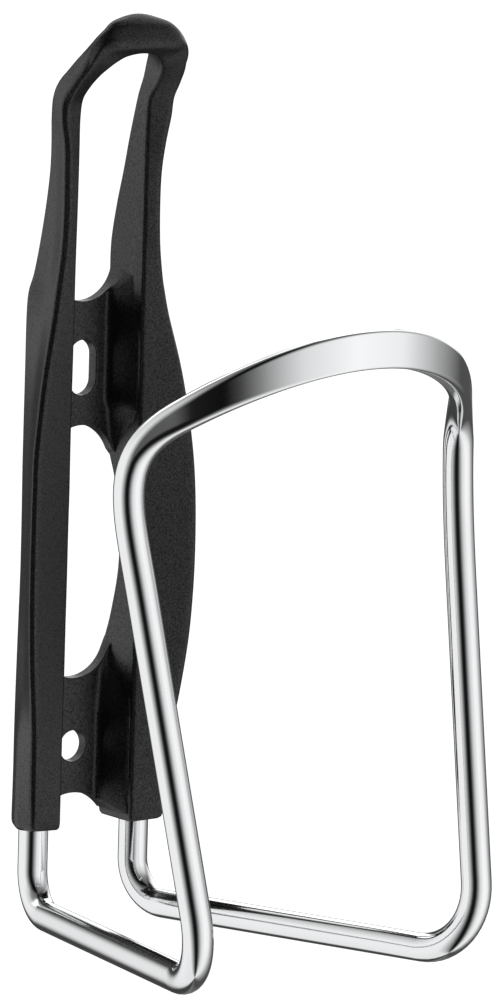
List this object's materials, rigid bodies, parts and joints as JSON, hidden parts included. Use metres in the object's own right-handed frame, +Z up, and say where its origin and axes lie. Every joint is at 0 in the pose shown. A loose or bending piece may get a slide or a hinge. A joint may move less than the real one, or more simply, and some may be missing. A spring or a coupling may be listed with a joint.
{
  "type": "bicycle water bottle cage",
  "caption": "Open bottle cage: a narrow moulded back plate with a round hole and a slot, and a bent rod hoop flattened into a front band.",
  "frame": {"origin": "centre of the round bolt hole on the flat back face that meets the frame tube", "axes": "X across the cage, +Y out of the back face into the frame tube so the bottle is on the -Y side, +Z up along the tube and the bottle's axis"},
  "size_m": [0.0708, 0.0835, 0.1525],
  "materials": {
    "nylon": "fine spark-eroded grain, black",
    "rod": "bright polished"
  },
  "bodies": {
    "root": {"back_plate": "nylon", "rod_hoop": "rod"}
  },
  "joints": []
}
